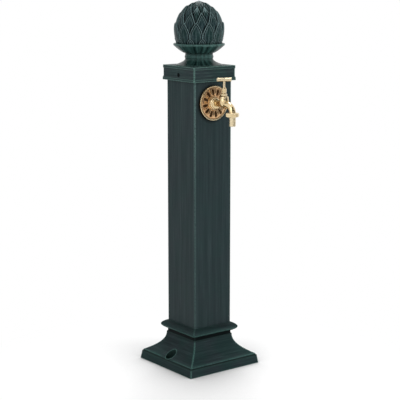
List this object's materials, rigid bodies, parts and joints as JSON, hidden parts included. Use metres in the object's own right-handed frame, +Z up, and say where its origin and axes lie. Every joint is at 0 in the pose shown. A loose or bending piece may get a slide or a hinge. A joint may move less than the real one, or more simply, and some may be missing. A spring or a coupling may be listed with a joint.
{
  "type": "garden standpipe",
  "caption": "Square cast garden standpipe with a moulded foot, a pine-cone finial and a brass bib tap whose T-handle lifts the valve off its seat.",
  "frame": {"origin": "on the column's axis at floor level, midway between the two ground bolts", "axes": "+Z up along the column, the tap faces -Y, the ground bolts lie along X"},
  "size_m": [0.226, 0.2672, 0.95],
  "materials": {
    "cast_green": "cast and painted dark grey-green, with verdigris brushed on the edges",
    "polished_brass": "polished",
    "antique_brass": "cast, with brown patina in its recesses",
    "plain_brass": "turned",
    "copper": "drawn copper",
    "zinc_steel": "zinc plated",
    "rubber": "moulded",
    "fibre": "pressed fibre"
  },
  "bodies": {
    "standpipe": {"base_foot": "cast_green", "column": "cast_green", "cap": "cast_green", "finial_pedestal": "cast_green", "finial_cone": "cast_green", "tap_body": "polished_brass", "bonnet": "polished_brass", "gland_nut": "polished_brass", "union_nut": "polished_brass", "hose_tail": "polished_brass", "rosette": "antique_brass", "supply_connector": "plain_brass", "supply_nut": "plain_brass", "supply_olive": "plain_brass", "wall_elbow": "plain_brass", "elbow_nut": "plain_brass", "elbow_olive": "plain_brass", "back_nut": "plain_brass", "riser_pipe": "copper", "column_screws": "zinc_steel", "cap_screws": "zinc_steel", "finial_stud": "zinc_steel", "finial_washer": "zinc_steel", "finial_nut": "zinc_steel", "back_washer": "zinc_steel", "pipe_grommet": "rubber", "hose_washer": "rubber", "shank_washer": "fibre", "bonnet_washer": "fibre", "gland_packing": "fibre"},
    "valve": {"jumper_valve": "plain_brass", "valve_washer": "rubber"},
    "handle": {"spindle": "polished_brass", "tee_handle": "polished_brass", "handle_pin": "zinc_steel"}
  },
  "joints": [
    {"name": "valve_lift", "type": "slide", "parent": "standpipe", "child": "valve", "axis": [0, 0, 1], "range_m": [0, 0.0045]},
    {"name": "handle_turn", "type": "hinge", "parent": "valve", "child": "handle", "pos_m": [0, -0.103, 0.757], "axis": [0, 0, 1], "range_deg": [0, 900]}
  ],
  "couplings": [
    {"joint": "valve_lift", "follows": "handle_turn", "m_per_rad": 0.00028645}
  ]
}
